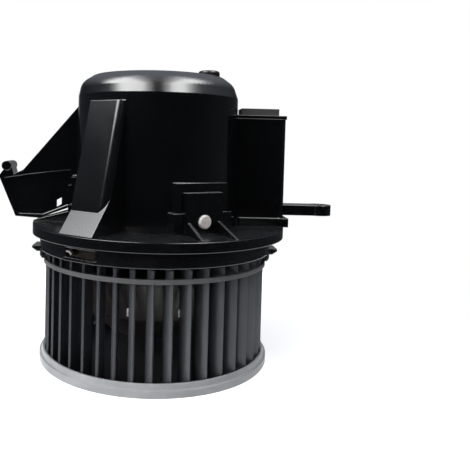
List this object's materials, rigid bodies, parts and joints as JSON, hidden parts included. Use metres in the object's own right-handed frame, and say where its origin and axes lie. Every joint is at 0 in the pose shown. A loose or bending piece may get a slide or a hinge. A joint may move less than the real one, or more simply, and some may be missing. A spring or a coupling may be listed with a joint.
{
  "type": "car cabin blower motor",
  "caption": "Cabin blower motor: a bladed fan wheel under a flanged black motor bell with a side plug box, bracket and fixing arm.",
  "frame": {"origin": "on the fan axis, in the plane of the flange's underside, which seats on the heater case", "axes": "+Z along the fan axis to the closed end of the motor bell, +X towards the plug box and the fixing arm, -Y towards the viewer of the picture"},
  "size_m": [0.2243, 0.1644, 0.1861],
  "materials": {
    "black_moulding": "satin black injection moulding with a faint blue sheen",
    "black_nylon": "matt black glass-filled nylon",
    "zinc_steel": "zinc-plated drawn steel",
    "ground_steel": "ground steel",
    "spring_steel": "blued spring steel",
    "ferrite": "dark grey sintered ferrite",
    "sintered_bronze": "oiled sintered bronze",
    "brass": "stamped brass strip",
    "carbon": "pressed carbon",
    "brown_grey_plastic": "matt brown-grey plastic",
    "bung_rubber": "glossy black rubber",
    "grey_plastic": "mid-grey polypropylene",
    "pale_plastic": "pale grey slightly translucent polypropylene",
    "lamination_steel": "stacked steel laminations",
    "enamelled_copper": "enamelled copper wire",
    "commutator_copper": "turned copper",
    "mount_rubber": "soft black rubber",
    "ivory_plastic": "ivory moulded plastic"
  },
  "bodies": {
    "motor_unit": {"bell": "black_moulding", "flange": "black_moulding", "wiring_box": "black_moulding", "side_bracket": "black_moulding", "cradle": "black_nylon", "cradle_screws": "zinc_steel", "rubber_mount_front_right": "mount_rubber", "mount_pin_front_right": "ivory_plastic", "rubber_mount_rear_right": "mount_rubber", "mount_pin_rear_right": "ivory_plastic", "rubber_mount_left": "mount_rubber", "mount_pin_left": "ivory_plastic", "motor_can": "zinc_steel", "magnet_front": "ferrite", "magnet_rear": "ferrite", "lower_bearing": "sintered_bronze", "upper_bearing": "sintered_bronze", "brush_card": "black_nylon", "brush_box_front": "brass", "brush_front": "carbon", "brush_spring_front": "spring_steel", "brush_box_rear": "brass", "brush_rear": "carbon", "brush_spring_rear": "spring_steel", "bus_bar_front": "brass", "bus_bar_rear": "brass", "plug_socket": "brown_grey_plastic", "box_cover": "black_moulding", "crown_bung": "bung_rubber"},
    "rotor": {"wheel_ring": "pale_plastic", "wheel_blades": "grey_plastic", "wheel_hoop": "pale_plastic", "wheel_hub": "grey_plastic", "hub_clip": "spring_steel", "shaft": "ground_steel", "armature_core": "lamination_steel", "windings": "enamelled_copper", "commutator": "commutator_copper"}
  },
  "joints": [
    {"name": "fan_spin", "type": "hinge", "parent": "motor_unit", "child": "rotor", "pos_m": [0, 0, 0], "axis": [0, 0, 1], "continuous": true}
  ]
}
